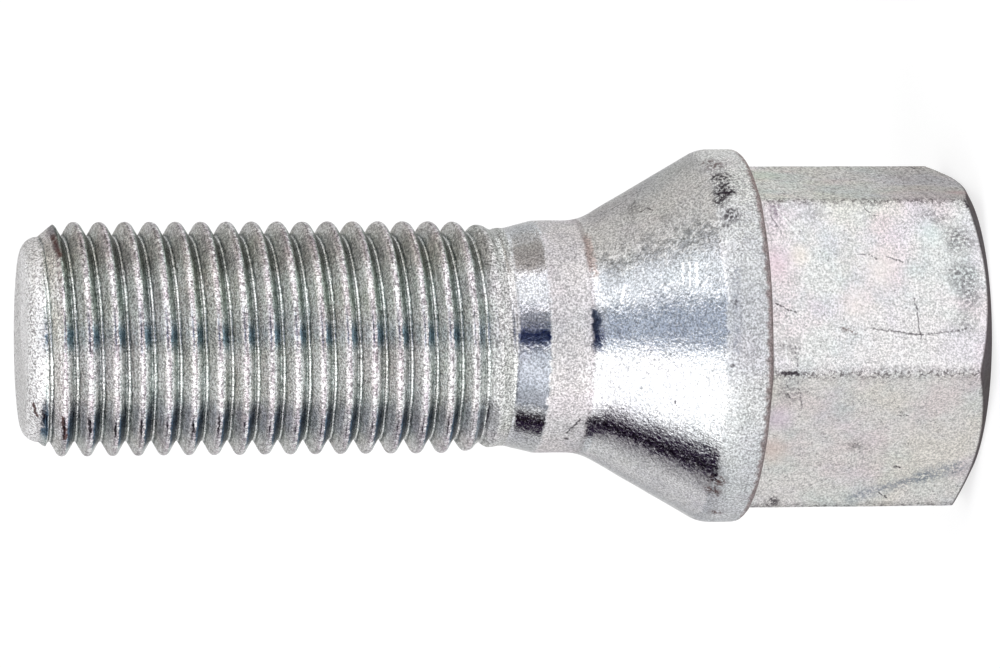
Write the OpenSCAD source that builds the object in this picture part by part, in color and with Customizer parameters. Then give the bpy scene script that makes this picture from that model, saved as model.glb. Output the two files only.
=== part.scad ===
// Wheel bolt with a sixty-degree cone seat and a hexagon head, forged and thread-rolled in one piece.
// It stands on the end face of its head: z = 0 is that face, and the threaded tip points up.

/* [Thread] */
// Diameter over the crests of the thread
thread_d = 13.75; // [10:0.05:20]
// Distance from one crest to the next
thread_pitch = 1.5; // [1:0.05:2]
// Length from the tip to the last trace of the thread
thread_len = 28.5; // [12:0.1:60]
// Length over which the thread fades out towards the neck
thread_runout = 3; // [0.5:0.1:6]
// Angle about the axis at which the crest would reach the tip
thread_turn = 9; // [0:1:359]

/* [Tip] */
// Radius that rounds the end of the tip
tip_round = 1; // [0.2:0.05:2]
// Angle between the axis and the cone that cuts the first crests
tip_bevel_angle = 40; // [20:1:60]

/* [Shank] */
// Diameter of the plain neck that the thread runs out into
neck_d = 12.85; // [9:0.05:18]
// Length of the neck
neck_len = 0.3; // [0.3:0.1:20]
// Length of the slope from the neck up to the shoulder
ramp_len = 1.5; // [0.3:0.1:6]
// Diameter of the shoulder, which centres the bolt in its hole
shoulder_d = 13.8; // [10:0.05:20]
// Length from the slope to where the shoulder would meet the cone
shoulder_len = 2.8; // [1.2:0.1:30]

/* [Cone seat and collar] */
// Full angle of the cone that presses on the wheel
cone_angle = 60; // [40:1:90]
// Radius of the fillet between the shoulder and the cone
cone_fillet = 3.4; // [0.5:0.1:4]
// Diameter of the collar at the foot of the cone
collar_d = 22.3; // [20.5:0.1:32]
// Length of the collar from its back to the foot of the cone
collar_len = 2.3; // [1.5:0.1:8]
// Radius of the soft edge between the cone and the collar
collar_front_round = 2.2; // [0.2:0.1:2.5]
// Radius of the edge at the back of the collar
collar_back_round = 0.5; // [0.2:0.05:1]

/* [Hexagon] */
// Distance between opposite flats
hex_af = 18.65; // [13:0.05:20]
// Length of the hexagon from its end face to the collar
hex_len = 13.45; // [5:0.05:25]
// Radius along the six long edges
hex_edge_round = 0.4; // [0.2:0.05:2]
// Diameter of the flat end face
end_face_d = 17.9; // [8:0.1:19]
// Angle between the end face and the bevel that cuts the corners
end_bevel_angle = 30; // [10:1:45]

/* [Hidden] */
$fn = 96;

// Form of the thread: flanks at thirty degrees to a plane across the axis, crest and root rounded
flank_angle = 30;
thread_height = thread_pitch / (2 * tan(flank_angle));
crest_round = thread_height / 4;
root_round = thread_height / 12;
thread_depth = thread_height - crest_round - root_round;
crest_r = thread_d / 2;
root_r = crest_r - thread_depth;

// Steps of the thread's mesh in one turn and over its crest, and of each rounded edge
turn_steps = 32;
crest_steps = 4;
arc_steps = 6;

// How far the thread's mesh stands inside the turned pieces that it joins
skin_gap = 0.03;
overlap = 0.5;

// Heights, counted up from the end face of the head
collar_z = hex_len;
cone_z = collar_z + collar_len;
shoulder_z = cone_z + (collar_d - shoulder_d) / 2 / tan(cone_angle / 2);
ramp_z = shoulder_z + shoulder_len;
neck_z = ramp_z + ramp_len;
thread_z = neck_z + neck_len;
tip_z = thread_z + thread_len;
thread_top_z = tip_z - tip_round;

// Point on a circle about centre in the half plane of a turned profile
function on_arc(centre, radius, angle) = centre + radius * [cos(angle), sin(angle)];

// Rounded stretch of a turned profile
function arc(centre, radius, start, end) =
    [for (i = [0 : arc_steps]) on_arc(centre, radius, start + (end - start) * i / arc_steps)];

// One pitch of the thread as [height above the root, radius]: half a root, a flank, the crest, a flank
function thread_form() =
    let (
        root_centre = [0, root_r + root_round],
        next_root_centre = root_centre + [thread_pitch, 0],
        crest_centre = [thread_pitch / 2, crest_r - crest_round],
        crest_turn = 180 - 2 * flank_angle
    )
    [
        on_arc(root_centre, root_round, -90),
        on_arc(root_centre, root_round, -flank_angle),
        for (i = [0 : crest_steps])
            on_arc(crest_centre, crest_round, 180 - flank_angle - crest_turn * i / crest_steps),
        on_arc(next_root_centre, root_round, flank_angle - 180)
    ];

// Share of the full thread form that has been reached at height z
function thread_share(z) = max(0, min(1, (z - thread_z) / thread_runout));

// Largest radius that the bevel at the tip leaves at height z
function bevel_r(z) = root_r + (thread_top_z - z) * tan(tip_bevel_angle);

// Radius of the threaded shank at height z where the full form has radius form_r
function thread_skin_r(z, form_r) =
    let (blank_r = neck_d / 2 - skin_gap)
    max(root_r, min(blank_r + thread_share(z) * (form_r - blank_r), bevel_r(z)));

// Threaded shank: one helical sheet of facets, closed by a flat ring at each end
module thread() {
    form = thread_form();
    rows = len(form);
    low_z = thread_z - overlap;
    high_z = thread_top_z;
    // The sheet starts at least a turn below its lower ring, on the crest's own helix
    crest_z = tip_z - thread_pitch * (thread_turn / 360 + 0.5);
    start_z = crest_z - thread_pitch * ceil((crest_z - low_z) / thread_pitch + 1);
    steps = turn_steps * ceil((high_z - start_z) / thread_pitch + 1);
    skin = [
        for (step = [0 : steps], row = [0 : rows - 1])
            let (
                angle = 360 * step / turn_steps,
                z = start_z + thread_pitch * step / turn_steps + form[row][0],
                r = thread_skin_r(z, form[row][1])
            )
            [r * cos(angle), r * sin(angle), z]
    ];
    ring = [
        for (z = [low_z, high_z], step = [0 : turn_steps - 1])
            let (r = thread_skin_r(z, root_r), angle = 360 * step / turn_steps)
            [r * cos(angle), r * sin(angle), z]
    ];
    low_ring = len(skin);
    high_ring = low_ring + turn_steps;

    // Index of a point of the sheet, or of the ring that it falls beyond
    function point_index(step, row) =
        row == rows ? point_index(step + turn_steps, 0) :
        let (z = start_z + thread_pitch * step / turn_steps + form[row][0])
        z <= low_z ? low_ring + step % turn_steps :
        z >= high_z ? high_ring + step % turn_steps :
        step * rows + row;

    facets = [
        for (step = [0 : steps - 1], row = [0 : rows - 1])
            let (
                a = point_index(step, row),
                b = point_index(step, row + 1),
                c = point_index(step + 1, row + 1),
                d = point_index(step + 1, row)
            )
            each [
                if (a != b && b != c && c != a) [a, b, c],
                if (a != c && c != d && d != a) [a, c, d]
            ]
    ];
    low_cap = [for (step = [0 : turn_steps - 1]) low_ring + step];
    high_cap = [for (step = [turn_steps - 1 : -1 : 0]) high_ring + step];
    polyhedron(points = concat(skin, ring), faces = concat(facets, [low_cap, high_cap]));
}

// Plain end of the tip, rounded from the thread's root down to a flat face
module tip_end() {
    r = root_r * cos(180 / turn_steps) - skin_gap;
    rotate_extrude()
        polygon(concat(
            [[0, thread_top_z - overlap], [r, thread_top_z - overlap]],
            arc([r - tip_round, thread_top_z], tip_round, 0, 90),
            [[0, tip_z]]
        ));
}

// Collar, cone seat, shoulder and neck, turned as one profile
module shank_and_seat() {
    collar_r = collar_d / 2;
    half_cone = cone_angle / 2;
    back_centre = [collar_r - collar_back_round, collar_z + collar_back_round];
    front_centre = [
        collar_r - collar_front_round,
        cone_z - collar_front_round * tan(half_cone / 2)
    ];
    fillet_centre = [
        shoulder_d / 2 + cone_fillet,
        shoulder_z + cone_fillet * tan(half_cone / 2)
    ];
    rotate_extrude()
        polygon(concat(
            [[0, collar_z]],
            arc(back_centre, collar_back_round, -90, 0),
            arc(front_centre, collar_front_round, 0, half_cone),
            arc(fillet_centre, cone_fillet, 180 + half_cone, 180),
            [
                [shoulder_d / 2, ramp_z],
                [neck_d / 2, neck_z],
                [neck_d / 2, thread_z],
                [0, thread_z]
            ]
        ));
}

// Outline of the hexagon: flat sides joined by an arc at each corner
module hex_outline() {
    corner_reach = (hex_af / 2 - hex_edge_round) / cos(30);
    polygon([
        for (corner = [0 : 60 : 300])
            each arc(corner_reach * [cos(corner), sin(corner)], hex_edge_round, corner - 30, corner + 30)
    ]);
}

// Hexagon head, its corners cut back by a bevel round the end face
module hexagon() {
    reach = hex_af;
    intersection() {
        linear_extrude(height = collar_z + overlap)
            hex_outline();
        rotate_extrude()
            polygon([
                [0, 0],
                [end_face_d / 2, 0],
                [reach, (reach - end_face_d / 2) * tan(end_bevel_angle)],
                [reach, collar_z + 2 * overlap],
                [0, collar_z + 2 * overlap]
            ]);
    }
}

module wheel_bolt() {
    color("silver") {
        hexagon();
        shank_and_seat();
        thread();
        tip_end();
    }
}

wheel_bolt();
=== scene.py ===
"""Looks of a plated wheel bolt that stands on the end face of its head, tip up.

The bolt is one forged piece, so it is one watertight mesh: the hexagon head is lofted ring by ring,
the seat is spun from its profile, the thread is a spun helix, and the three are bridged together.
The camera lies on its side, so the tip points left in the picture.
"""

from __future__ import annotations

import logging
import math
from dataclasses import dataclass, field
from enum import Enum
from typing import Callable

import bmesh
import bpy
from mathutils import Matrix, Vector, noise


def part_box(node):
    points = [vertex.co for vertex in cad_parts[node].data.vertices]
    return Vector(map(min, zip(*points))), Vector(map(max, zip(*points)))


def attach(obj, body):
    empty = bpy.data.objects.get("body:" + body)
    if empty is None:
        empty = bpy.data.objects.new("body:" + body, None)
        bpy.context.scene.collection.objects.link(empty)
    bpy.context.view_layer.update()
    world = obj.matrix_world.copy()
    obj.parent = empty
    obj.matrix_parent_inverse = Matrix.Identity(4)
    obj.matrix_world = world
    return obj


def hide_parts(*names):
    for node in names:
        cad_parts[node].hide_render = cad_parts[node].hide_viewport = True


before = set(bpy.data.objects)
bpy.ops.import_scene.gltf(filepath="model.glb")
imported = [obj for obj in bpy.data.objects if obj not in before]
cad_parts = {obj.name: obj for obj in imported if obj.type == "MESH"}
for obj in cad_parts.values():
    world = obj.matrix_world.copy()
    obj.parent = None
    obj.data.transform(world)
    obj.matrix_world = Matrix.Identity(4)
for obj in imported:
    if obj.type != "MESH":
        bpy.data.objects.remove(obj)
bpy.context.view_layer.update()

log = logging.getLogger("wheel_bolt")

MM = 0.001
NODE = "wheel_bolt"
BODY = "root"
BOX_CLEARANCE = 0.01 * MM
WELD_REACH = 0.002 * MM
CUT_REACH = 0.00001 * MM
LEVEL_REACH = 0.02 * MM

# Sizes of the part that several classes share
HEAD_LENGTH = 13.45 * MM
END_FACE_DIAMETER = 17.9 * MM
END_BEVEL = math.radians(30)
NECK_RADIUS = 6.47 * MM
THREAD_PITCH = 1.5 * MM
THREAD_TURN = math.radians(9)
TIP_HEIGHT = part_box(NODE)[1].z - BOX_CLEARANCE
FIRST_CREST = TIP_HEIGHT - THREAD_PITCH * (THREAD_TURN / math.tau + 0.5)

# Azimuth that faces the camera, in degrees from +X
CAMERA_AZIMUTH = -107.68

# Turn from one long edge of the head to the next, in degrees
HEXAGON_SECTOR = 60.0

Colour = tuple[float, float, float]
Place = tuple[float, float]
Span = tuple[float, float]
Profile = list[tuple[float, float]]
BMesh = bmesh.types.BMesh
Ring = list[bmesh.types.BMEdge]
Socket = bpy.types.NodeSocket
Node = bpy.types.Node
RingPlace = Callable[[float], Place]
SurfacePoint = Callable[[Place], Vector]


class Zone(Enum):
    """Surfaces with a finish of their own, in the order of their material slots."""

    THREAD = 0
    SEAT = 1
    HEXAGON = 2


def blend(low: float, high: float, share: float) -> float:
    """Value between two others at a share of the way."""
    return low + (high - low) * share


def soft_min(first: float, second: float, reach: float) -> float:
    """Smaller of two lengths, rounded off where they are within reach of each other."""
    share = max(0.0, reach - abs(first - second)) / reach
    return min(first, second) - share * share * reach / 4


def polar(radius: float, angle: float, height: float) -> Vector:
    """Point at a radius and an angle about the bolt's axis."""
    return Vector((radius * math.cos(angle), radius * math.sin(angle), height))


def new_ring(mesh: BMesh, ring: Ring, place: RingPlace) -> Ring:
    """Extrudes a closed ring of edges and sets each new vertex by its angle about the axis.

    Args:
        mesh: The mesh that holds the ring.
        ring: The open boundary to extrude.
        place: Gives the radius and the height at an angle.

    Returns:
        The new open boundary.
    """
    made = bmesh.ops.extrude_edge_only(mesh, edges=ring)["geom"]
    for vertex in (item for item in made if isinstance(item, bmesh.types.BMVert)):
        angle = math.atan2(vertex.co.y, vertex.co.x)
        radius, height = place(angle)
        vertex.co = polar(radius, angle, height)
    return [item for item in made if isinstance(item, bmesh.types.BMEdge) and item.is_boundary]


def close_pole(mesh: BMesh, ring: Ring) -> None:
    """Fills a small ring round a pole with a fan of triangles."""
    filled = bmesh.ops.edgeloop_fill(mesh, edges=ring)["faces"]
    bmesh.ops.poke(mesh, faces=filled)


def open_ring(mesh: BMesh, height: float) -> Ring:
    """Open edges that lie at a height.

    Args:
        mesh: The mesh to search.
        height: Height of both ends of each edge.

    Returns:
        The edges of that boundary.
    """
    return [
        edge
        for edge in mesh.edges
        if edge.is_boundary
        and all(abs(vertex.co.z - height) < LEVEL_REACH for vertex in edge.verts)
    ]


def take_in(whole: BMesh, part: BMesh) -> None:
    """Adds a part's mesh to the whole and frees the part's.

    Args:
        whole: The mesh that grows.
        part: The mesh that is used up.
    """
    data = bpy.data.meshes.new("part")
    part.to_mesh(data)
    part.free()
    whole.from_mesh(data)
    bpy.data.meshes.remove(data)


@dataclass
class HexagonHead:
    """Hexagon head from its end face up to the back of the collar."""

    back_reach: float
    back_height: float
    across_flats: float = 18.65 * MM
    length: float = HEAD_LENGTH
    edge_round: float = 0.45 * MM
    end_face_diameter: float = END_FACE_DIAMETER
    end_bevel: float = END_BEVEL
    crease_round: float = 0.12 * MM
    foot_fillet: float = 0.35 * MM
    back_power: int = 3
    steps: int = 288
    ring_gap: float = 0.28 * MM
    bevel_rings: int = 18
    fillet_rings: int = 4
    end_face_rings: int = 10

    def outline(self, angle: float) -> float:
        """Radius of the hexagon in a direction, with its long edges rounded.

        Args:
            angle: Direction about the axis, where 0 is a corner.

        Returns:
            The radius of the outline.
        """
        sector = math.radians(HEXAGON_SECTOR)
        turn = abs((angle + sector / 2) % sector - sector / 2)
        half = self.across_flats / 2
        centre = (half - self.edge_round) / math.cos(sector / 2)
        rounded = self.edge_round
        tangent = math.atan2(
            rounded * math.sin(sector / 2), centre + rounded * math.cos(sector / 2)
        )
        if turn > tangent:
            return half / math.cos(sector / 2 - turn)
        return centre * math.cos(turn) + math.sqrt(rounded**2 - (centre * math.sin(turn)) ** 2)

    def wall(self, height: float) -> RingPlace:
        """Ring of the hexagon, cut by the bevel round the end face.

        Args:
            height: Height of the ring.

        Returns:
            Its radius and height by angle.
        """
        bevel_radius = self.end_face_diameter / 2 + height / math.tan(self.end_bevel)
        reach = self.crease_round
        return lambda angle: (soft_min(self.outline(angle), bevel_radius, reach), height)

    def foot(self, share: float) -> RingPlace:
        """Ring of the small fillet between the hexagon and the collar's back.

        Args:
            share: Share of the fillet's arc.

        Returns:
            Its radius and height by angle.
        """
        turn = share * math.pi / 2

        def place(angle: float) -> Place:
            """Point of the fillet.

            Args:
                angle: Direction about the axis.

            Returns:
                Its radius and height.
            """
            outline = self.outline(angle)
            fillet = min(self.foot_fillet, (self.back_reach - outline) / 2)
            outward = fillet * (1 - math.cos(turn))
            return outline + outward, self.length - fillet * (1 - math.sin(turn))

        return place

    def back(self, share: float) -> RingPlace:
        """Ring of the collar's back face, which is flat and then turns up to the rim.

        Args:
            share: Share of the way from the fillet to the rim.

        Returns:
            Its radius and height by angle.
        """

        def place(angle: float) -> Place:
            """Point of the back face.

            Args:
                angle: Direction about the axis.

            Returns:
                Its radius and height.
            """
            start = self.foot(1)(angle)[0]
            height = blend(self.length, self.back_height, share**self.back_power)
            return blend(start, self.back_reach, share), height

        return place

    def build(self) -> BMesh:
        """Lofts the head from the middle of its end face to the rim of the collar's back.

        Returns:
            The head's mesh, open at the rim.
        """
        mesh = bmesh.new()
        end_radius = self.end_face_diameter / 2
        first = end_radius / self.end_face_rings
        bmesh.ops.create_circle(
            mesh, cap_ends=True, cap_tris=True, segments=self.steps, radius=first
        )
        ring = open_ring(mesh, 0)
        corner_reach = self.outline(0) - end_radius
        bevel_top = corner_reach * math.tan(self.end_bevel) + self.crease_round
        wall_top = self.length - self.foot_fillet
        wall_rings = round((wall_top - bevel_top) / self.ring_gap)
        stations: list[RingPlace] = []
        for step in range(2, self.end_face_rings + 1):
            stations.append(lambda angle, radius=first * step: (radius, 0.0))
        for step in range(1, self.bevel_rings + 1):
            stations.append(self.wall(bevel_top * step / self.bevel_rings))
        for step in range(1, wall_rings + 1):
            stations.append(self.wall(blend(bevel_top, wall_top, step / wall_rings)))
        for step in range(1, self.fillet_rings + 1):
            stations.append(self.foot(step / self.fillet_rings))
        for step in range(1, self.fillet_rings + 1):
            stations.append(self.back(step / self.fillet_rings))
        for place in stations:
            ring = new_ring(mesh, ring, place)
        return mesh


@dataclass
class Seat:
    """Collar, cone seat, shoulder, slope and neck, spun as one profile."""

    collar_radius: float
    collar_height: float = HEAD_LENGTH
    collar_length: float = 2.3 * MM
    back_round: float = 0.5 * MM
    # Where the arc at the collar's back starts, in degrees
    back_start: float = -60.0
    front_round: float = 2.2 * MM
    half_cone: float = math.radians(30)
    shoulder_radius: float = 6.9 * MM
    cone_fillet: float = 3.4 * MM
    shoulder_length: float = 2.8 * MM
    slope_length: float = 1.7 * MM
    slope_round: float = 0.8 * MM
    neck_radius: float = NECK_RADIUS
    neck_length: float = 0.12 * MM
    steps: int = 288
    profile_gap: float = 0.2 * MM
    fewest_arc_steps: int = 4

    @property
    def cone_foot(self) -> float:
        """Height at which the cone would meet the collar's rim."""
        return self.collar_height + self.collar_length

    @property
    def shoulder_height(self) -> float:
        """Height at which the cone would meet the shoulder."""
        rise = self.collar_radius - self.shoulder_radius
        return self.cone_foot + rise / math.tan(self.half_cone)

    @property
    def slope_height(self) -> float:
        """Height at which the slope from the shoulder to the neck starts."""
        return self.shoulder_height + self.shoulder_length

    @property
    def top(self) -> float:
        """Height of the profile's last point, on the neck."""
        return self.slope_height + self.slope_length + self.neck_length

    def arc(self, centre: Place, radius: float, start: float, end: float) -> Profile:
        """Points of an arc in the profile.

        Args:
            centre: Radius and height of its centre.
            radius: Radius of the arc.
            start: Angle of its first point, in degrees.
            end: Angle of its last point, in degrees.

        Returns:
            The points as radius and height.
        """
        length = abs(math.radians(end - start)) * radius
        count = max(self.fewest_arc_steps, round(length / self.profile_gap))
        turns = [math.radians(blend(start, end, step / count)) for step in range(count + 1)]
        return [
            (centre[0] + radius * math.cos(turn), centre[1] + radius * math.sin(turn))
            for turn in turns
        ]

    def profile(self) -> Profile:
        """Points of the profile from the collar's back to the neck.

        Returns:
            The points as radius and height, nowhere further apart than the profile's gap.
        """
        half_tangent = math.tan(self.half_cone / 2)
        cone = math.degrees(self.half_cone)
        slope_rise = self.shoulder_radius - self.neck_radius
        slope = math.degrees(math.atan2(slope_rise, self.slope_length))
        slope_tangent = self.slope_round * math.tan(math.radians(slope / 2))
        neck_height = self.slope_height + self.slope_length
        back_centre = (
            self.collar_radius - self.back_round,
            self.collar_height + self.back_round,
        )
        front_centre = (
            self.collar_radius - self.front_round,
            self.cone_foot - self.front_round * half_tangent,
        )
        fillet_centre = (
            self.shoulder_radius + self.cone_fillet,
            self.shoulder_height + self.cone_fillet * half_tangent,
        )
        slope_centre = (
            self.shoulder_radius - self.slope_round,
            self.slope_height - slope_tangent,
        )
        neck_centre = (self.neck_radius + self.slope_round, neck_height + slope_tangent)
        corners = [
            *self.arc(back_centre, self.back_round, self.back_start, 0),
            *self.arc(front_centre, self.front_round, 0, cone),
            *self.arc(fillet_centre, self.cone_fillet, 180 + cone, 180),
            *self.arc(slope_centre, self.slope_round, 0, slope),
            *self.arc(neck_centre, self.slope_round, 180 + slope, 180),
            (self.neck_radius, self.top),
        ]
        points = corners[:1]
        for corner in corners[1:]:
            last = points[-1]
            count = max(1, math.ceil(math.dist(last, corner) / self.profile_gap))
            for step in range(1, count + 1):
                share = step / count
                radius = blend(last[0], corner[0], share)
                points.append((radius, blend(last[1], corner[1], share)))
        return points

    def build(self) -> BMesh:
        """Spins the profile about the bolt's axis.

        Returns:
            The seat's mesh, open at both ends.
        """
        mesh = bmesh.new()
        chain = [mesh.verts.new(polar(radius, 0, height)) for radius, height in self.profile()]
        edges = [mesh.edges.new(pair) for pair in zip(chain, chain[1:])]
        bmesh.ops.spin(
            mesh,
            geom=[*chain, *edges],
            cent=(0, 0, 0),
            axis=(0, 0, 1),
            angle=math.tau,
            steps=self.steps,
            use_merge=True,
        )
        return mesh


@dataclass
class ThreadedShank:
    """Right-hand thread with its run-out, its cut first crests and the rounded tip.

    The crest's helix passes the direction of +X at the height of its start.
    """

    low: float
    tip_height: float = TIP_HEIGHT
    crest_radius: float = 6.875 * MM
    neck_radius: float = NECK_RADIUS
    pitch: float = THREAD_PITCH
    runout: float = 3 * MM
    crest_start: float = FIRST_CREST
    flank_angle: float = math.radians(30)
    tip_round: float = 1 * MM
    tip_bevel: float = math.radians(40)
    steps: int = 120
    arc_steps: int = 4
    flank_steps: int = 3
    tip_rings: int = 8
    end_face_rings: int = 9

    @property
    def form_height(self) -> float:
        """Height of the thread's sharp triangle."""
        return self.pitch / (2 * math.tan(self.flank_angle))

    @property
    def crest_round(self) -> float:
        """Radius of the crest."""
        return self.form_height / 4

    @property
    def root_round(self) -> float:
        """Radius of the root."""
        return self.form_height / 12

    @property
    def root_radius(self) -> float:
        """Radius of the shank at the root."""
        return self.crest_radius - self.form_height + self.crest_round + self.root_round

    @property
    def thread_top(self) -> float:
        """Height at which the thread gives way to the rounded tip."""
        return self.tip_height - self.tip_round

    def form(self) -> Profile:
        """One pitch of the thread from root to root.

        Returns:
            Its points as radius and height.
        """
        reach = math.pi / 2 - self.flank_angle
        turns = [reach * step / self.arc_steps for step in range(self.arc_steps + 1)]
        root = [
            (
                self.root_radius + self.root_round * (1 - math.cos(turn)),
                self.root_round * math.sin(turn),
            )
            for turn in turns
        ]
        crest = [
            (
                self.crest_radius - self.crest_round * (1 - math.cos(turn)),
                self.pitch / 2 - self.crest_round * math.sin(turn),
            )
            for turn in reversed(turns)
        ]
        shares = [step / self.flank_steps for step in range(1, self.flank_steps)]
        flank = [
            (blend(root[-1][0], crest[0][0], share), blend(root[-1][1], crest[0][1], share))
            for share in shares
        ]
        rise = [*root, *flank, *crest]
        fall = [(radius, self.pitch - height) for radius, height in reversed(rise[:-1])]
        return [*rise, *fall]

    def skin_radius(self, radius: float, height: float) -> float:
        """Radius of the shank where the full thread has another.

        Args:
            radius: Radius of the full thread form.
            height: Height of the point.

        Returns:
            The radius after the run-out and the bevel at the tip.
        """
        share = max(0.0, min(1.0, (height - self.low) / self.runout))
        bevel = self.root_radius + (self.thread_top - height) * math.tan(self.tip_bevel)
        return max(self.root_radius, min(blend(self.neck_radius, radius, share), bevel))

    def build(self) -> BMesh:
        """Spins one turn of the thread, repeats it up the shank, trims it and closes the tip.

        Returns:
            The shank's mesh, open at its lower end.
        """
        mesh = bmesh.new()
        turns_below = math.ceil((self.crest_start - self.low) / self.pitch + 1)
        start = self.crest_start - self.pitch * turns_below
        chain = [
            mesh.verts.new(polar(radius, 0, start + height)) for radius, height in self.form()
        ]
        edges = [mesh.edges.new(pair) for pair in zip(chain, chain[1:])]
        bmesh.ops.spin(
            mesh,
            geom=[*chain, *edges],
            cent=(0, 0, 0),
            axis=(0, 0, 1),
            dvec=(0, 0, self.pitch / self.steps),
            angle=math.tau,
            steps=self.steps,
        )
        turn = [*mesh.verts, *mesh.edges, *mesh.faces]
        for count in range(1, turns_below + 2):
            copied = bmesh.ops.duplicate(mesh, geom=turn)["geom"]
            verts = [item for item in copied if isinstance(item, bmesh.types.BMVert)]
            bmesh.ops.translate(mesh, verts=verts, vec=(0, 0, self.pitch * count))
        bmesh.ops.remove_doubles(mesh, verts=mesh.verts[:], dist=WELD_REACH)
        for vertex in mesh.verts:
            angle = math.atan2(vertex.co.y, vertex.co.x)
            radius = self.skin_radius(math.hypot(vertex.co.x, vertex.co.y), vertex.co.z)
            vertex.co = polar(radius, angle, vertex.co.z)
        for height, side in ((self.low, -1), (self.thread_top, 1)):
            bmesh.ops.bisect_plane(
                mesh,
                geom=[*mesh.verts, *mesh.edges, *mesh.faces],
                dist=CUT_REACH,
                plane_co=(0, 0, height),
                plane_no=(0, 0, side),
                clear_outer=True,
            )
        self.close_tip(mesh)
        return mesh

    def close_tip(self, mesh: BMesh) -> None:
        """Rounds the end of the shank over and closes it.

        Args:
            mesh: The mesh of the trimmed shank.
        """
        ring = open_ring(mesh, self.thread_top)
        for vertex in {vertex for edge in ring for vertex in edge.verts}:
            angle = math.atan2(vertex.co.y, vertex.co.x)
            vertex.co = polar(self.root_radius, angle, self.thread_top)
        face_radius = self.root_radius - self.tip_round
        for step in range(1, self.tip_rings + 1):
            turn = math.pi / 2 * step / self.tip_rings
            radius = face_radius + self.tip_round * math.cos(turn)
            height = self.thread_top + self.tip_round * math.sin(turn)
            ring = new_ring(mesh, ring, lambda angle, r=radius, z=height: (r, z))
        for step in range(self.end_face_rings - 1, 0, -1):
            radius = face_radius * step / self.end_face_rings
            ring = new_ring(mesh, ring, lambda angle, r=radius: (r, self.tip_height))
        close_pole(mesh, ring)


class Sketch:
    """Adds and links the nodes of one material or world."""

    def __init__(self, tree: bpy.types.NodeTree) -> None:
        """Starts from an empty tree."""
        self.tree = tree
        tree.nodes.clear()

    def node(self, kind: str, inputs: dict[str | int, object], **settings: object) -> Node:
        """Adds a node.

        Args:
            kind: Blender's name of the node type.
            inputs: Socket name or number, and the value or the socket that feeds it.
            settings: The node's own properties.

        Returns:
            The new node.
        """
        made = self.tree.nodes.new(kind)
        for name, value in settings.items():
            setattr(made, name, value)
        for name, value in inputs.items():
            if isinstance(value, Socket):
                self.tree.links.new(value, made.inputs[name])
            else:
                made.inputs[name].default_value = value
        return made

    def math(self, operation: str, *values: object) -> Socket:
        """Result of a Math node."""
        return self.node("ShaderNodeMath", dict(enumerate(values)), operation=operation).outputs[0]

    def vector(self, operation: str, *values: object) -> Node:
        """A Vector Math node."""
        return self.node("ShaderNodeVectorMath", dict(enumerate(values)), operation=operation)

    def scaled(self, vector: object, factor: object) -> Socket:
        """A vector times a number."""
        sockets = {0: vector, "Scale": factor}
        return self.node("ShaderNodeVectorMath", sockets, operation="SCALE").outputs[0]

    def grey(self, value: object) -> Socket:
        """Grey of a brightness."""
        return self.node("ShaderNodeCombineColor", {0: value, 1: value, 2: value}).outputs[0]

    def span(
        self, value: object, low: float, high: float, to_low: float = 0, to_high: float = 1
    ) -> Socket:
        """Smooth step of a value from one range to another.

        Args:
            value: The value.
            low: Start of its range, which may be the larger end.
            high: End of its range.
            to_low: Result at the start.
            to_high: Result at the end.

        Returns:
            The result, held at its ends outside the range.
        """
        ends = {"From Min": low, "From Max": high, "To Min": to_low, "To Max": to_high}
        sockets = {"Value": value, **ends}
        made = self.node("ShaderNodeMapRange", sockets, interpolation_type="SMOOTHSTEP")
        return made.outputs[0]

    def inside(self, value: object, limits: Span, soft: float) -> Socket:
        """Share that is 1 between two limits and fades to 0 across each.

        Args:
            value: The value to test.
            limits: The lower and the upper limit.
            soft: Width of each fade.

        Returns:
            The share.
        """
        low, high = limits
        above = self.span(value, low - soft / 2, low + soft / 2)
        below = self.span(value, high + soft / 2, high - soft / 2)
        return self.math("MULTIPLY", above, below)

    def sector(self, azimuth: object, limits: Span, soft: float) -> Socket:
        """Share that is 1 between two azimuths and fades to 0 across each.

        Args:
            azimuth: The azimuth to test, in degrees.
            limits: The two azimuths.
            soft: Width of each fade.

        Returns:
            The share.
        """
        away = self.math("SUBTRACT", azimuth, sum(limits) / 2)
        away = self.math("ABSOLUTE", self.math("WRAP", away, 180.0, -180.0))
        half = (limits[1] - limits[0]) / 2
        return self.span(away, half + soft / 2, half - soft / 2)

    def noise(
        self, place: object, waves: float, detail: float, rough: float, bend: float = 0
    ) -> Socket:
        """Value of a noise.

        Args:
            place: Where it is looked up.
            waves: Waves in a unit of the place.
            detail: Finer layers.
            rough: Strength of the finer layers.
            bend: Distortion.

        Returns:
            A value from 0 to 1.
        """
        sockets = {
            "Vector": place,
            "Scale": waves,
            "Detail": detail,
            "Roughness": rough,
            "Distortion": bend,
        }
        return self.node("ShaderNodeTexNoise", sockets).outputs[0]

    def mix(self, share: object, first: object, second: object, kind: str = "MIX") -> Socket:
        """Blends two colours.

        Args:
            share: Share of the second colour.
            first: A colour or the socket of one.
            second: A colour or the socket of one.
            kind: Blender's name of the blend.

        Returns:
            The mixed colour.
        """
        colours = [
            value if isinstance(value, Socket) else (*value, 1) for value in (first, second)
        ]
        sockets = {0: share, 6: colours[0], 7: colours[1]}
        made = self.node("ShaderNodeMix", sockets, data_type="RGBA", blend_type=kind)
        return made.outputs[2]


@dataclass(frozen=True)
class Flecks:
    """Noise that is cut at two edges, in waves a millimetre."""

    waves: float
    detail: float
    rough: float
    edges: Span
    bend: float = 0.0

    def share(self, sketch: Sketch, place: object, low: float = 0, high: float = 1) -> Socket:
        """Value that goes from low to high as the noise at a place passes its edges."""
        value = sketch.noise(place, self.waves, self.detail, self.rough, self.bend)
        return sketch.span(value, *self.edges, low, high)


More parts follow.
